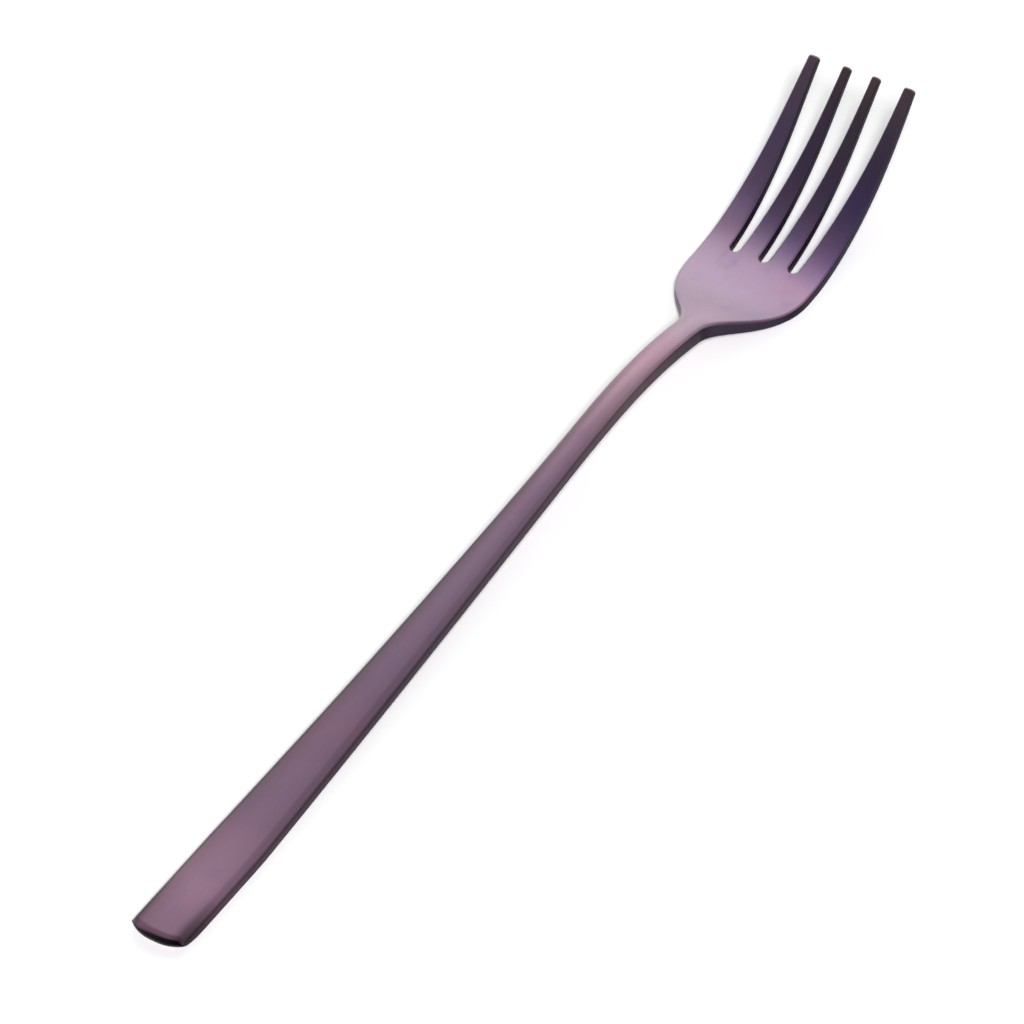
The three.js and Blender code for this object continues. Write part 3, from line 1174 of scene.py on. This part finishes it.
@dataclass(frozen=True)
class Room:
    """Pale round the horizon and behind the handle, bright beyond the head, dim overhead."""

    dim: Colour = (0.16, 0.155, 0.165)
    bright: Colour = (0.87, 0.87, 0.87)
    greenish: Colour = (0.4, 0.46, 0.36)
    white: Colour = (1.0, 1.0, 1.0)
    glow_onward: float = 0.99
    glow_rise: float = -0.14
    glow_edge: Span = (-0.12, 0.28)
    spread_least: float = 0.42
    spread_aside: Span = (-1.0, 0.3)
    spread_gain: float = 0.28
    left_aside: Span = (0.1, 0.46)
    left_gain: float = 0.3
    greenish_aside: Span = (0.5, 0.85)
    horizon_rise: Span = (0.05, 0.55)
    horizon_right: float = 0.65
    behind_back: Span = (0.45, 0.65)
    behind_rise: Span = (0.3, 0.7)

    def build(self) -> None:
        """Surround the fork with the room."""
        world = bpy.data.worlds.new("room")
        bench = Bench(world)
        onward, aside, rise = bench.split(bench.add("ShaderNodeTexCoord", {}, {}, "Generated"))
        left = aside.eased(self.left_aside)
        spread = self.spread_least + self.spread_gain * aside.eased(self.spread_aside)
        spread = spread + self.left_gain * left
        facing = self.glow_onward * onward + self.glow_rise * rise
        glow = facing.eased(self.glow_edge) * spread
        bright = bench.mixed(self.bright, self.greenish, aside.eased(self.greenish_aside))
        upper = bench.mixed(self.dim, bright, glow)
        horizon = rise.faded(self.horizon_rise) * blend(self.horizon_right, 1.0, left)
        behind = (0.0 - onward).eased(self.behind_back) * rise.faded(self.behind_rise)
        colour = bench.mixed(upper, self.white, blend(horizon, 1.0, behind))
        surface = bench.add("ShaderNodeBackground", {}, {"Color": colour, "Strength": 1.0})
        bench.finish(surface, "ShaderNodeOutputWorld")
        bpy.context.scene.world = world


@dataclass
class Studio:
    """Pale floor, soft light and the camera."""

    room: Room = field(default_factory=Room)
    floor_radius: float = 6000.0
    floor_corners: int = 96
    floor_colour: Colour = (0.95, 0.95, 0.95)
    floor_roughness: float = 0.9
    azimuth: float = -42.603
    elevation: float = 44.739
    roll: float = -10.373
    aim: tuple[float, float] = (-0.058, 4.912)
    distance: float = 832.66
    focal_pixels: float = 5000.0
    picture_pixels: float = 1024.0
    sensor_width: float = 36.0
    sight: Span = (50.0, 50000.0)
    key_distance: float = 1500.0
    key_strength: float = 3.2
    key_angle: float = 14.0
    softbox_watts: float = 0.06
    softbox_size: float = 220.0
    softbox_at: tuple[float, float, float] = (280.0, 105.0, 150.0)
    softbox_aim: tuple[float, float, float] = (220.0, 65.0, 0.0)

    def axes(self) -> tuple[Vector, Vector, Vector]:
        """Right, up and back of the camera."""
        azimuth, elevation = math.radians(self.azimuth), math.radians(self.elevation)
        roll = math.radians(self.roll)
        level = math.cos(elevation)
        back = Vector((-level * math.cos(azimuth), level * math.sin(azimuth), math.sin(elevation)))
        right = Vector((0.0, 0.0, 1.0)).cross(back).normalized()
        up = back.cross(right)
        turned = right * math.cos(roll) + up * math.sin(roll)
        return turned, up * math.cos(roll) - right * math.sin(roll), back

    def camera(self) -> None:
        """Stand the camera where the picture was taken from."""
        right, up, back = self.axes()
        data = bpy.data.cameras.new("camera")
        data.sensor_width = self.sensor_width
        data.lens = self.sensor_width * self.focal_pixels / self.picture_pixels
        data.clip_start, data.clip_end = (reach * METRE for reach in self.sight)
        camera = bpy.data.objects.new("camera", data)
        stand = (Vector((*self.aim, 0.0)) + back * self.distance) * METRE
        turn = Matrix((right, up, back)).transposed()
        camera.matrix_world = Matrix.Translation(stand) @ turn.to_4x4()
        bpy.context.scene.collection.objects.link(camera)
        bpy.context.scene.camera = camera

    def floor(self) -> None:
        """Lay the pale floor."""
        angles = np.linspace(0.0, 2.0 * math.pi, self.floor_corners, endpoint=False)
        ring = np.stack([np.cos(angles), np.sin(angles), 0.0 * angles], axis=1)
        mesh = bpy.data.meshes.new("floor")
        mesh.from_pydata((ring * self.floor_radius * METRE).tolist(), [], [tuple(range(len(ring)))])
        material = bpy.data.materials.new("pale_floor")
        bench = Bench(material)
        inputs = {
            "Base Color": (*self.floor_colour, 1.0),
            "Roughness": self.floor_roughness,
            "Specular IOR Level": 0.0,
        }
        bench.finish(bench.add("ShaderNodeBsdfPrincipled", {}, inputs), "ShaderNodeOutputMaterial")
        mesh.materials.append(material)
        floor = bpy.data.objects.new("floor", mesh)
        bpy.context.scene.collection.objects.link(floor)
        floor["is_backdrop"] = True

    def lamp(self, name: str, kind: str, stand: Vector, aim: Vector) -> bpy.types.Object:
        """Add one lamp.

        Args:
            name: Its name.
            kind: Blender's type of lamp.
            stand: Where it stands, in millimetres.
            aim: Where it points, in millimetres.

        Returns:
            The lamp's object.
        """
        lamp = bpy.data.objects.new(name, bpy.data.lights.new(name, kind))
        lamp.location = stand * METRE
        lamp.rotation_euler = (aim - stand).to_track_quat("-Z", "Y").to_euler()
        bpy.context.scene.collection.objects.link(lamp)
        return lamp

    def lamps(self) -> None:
        """A broad key from where the camera stands and a soft box beyond the head."""
        back = self.axes()[2]
        key = self.lamp("key", "SUN", back * self.key_distance, Vector((0.0, 0.0, 0.0)))
        key.data.energy = self.key_strength
        key.data.angle = math.radians(self.key_angle)
        key.visible_glossy = False
        box = self.lamp("softbox", "AREA", Vector(self.softbox_at), Vector(self.softbox_aim))
        box.data.shape = "SQUARE"
        box.data.size = self.softbox_size * METRE
        box.data.energy = self.softbox_watts
        box.visible_diffuse = False

    def build(self) -> None:
        """Set up the whole studio."""
        self.camera()
        self.floor()
        self.room.build()
        self.lamps()
        bpy.context.scene.view_settings.view_transform = "Standard"


def main() -> None:
    """Build the studio and the fork."""
    logging.basicConfig(level=logging.INFO, format="%(name)s: %(message)s")
    cad_box = [list(corner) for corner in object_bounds()]
    Studio().build()
    blank = Blank()
    Fork(blank, foot=cad_box[0][0] / METRE + blank.handle_end_bulge).build()
    bpy.context.view_layer.update()


if __name__ == "__main__":
    main()
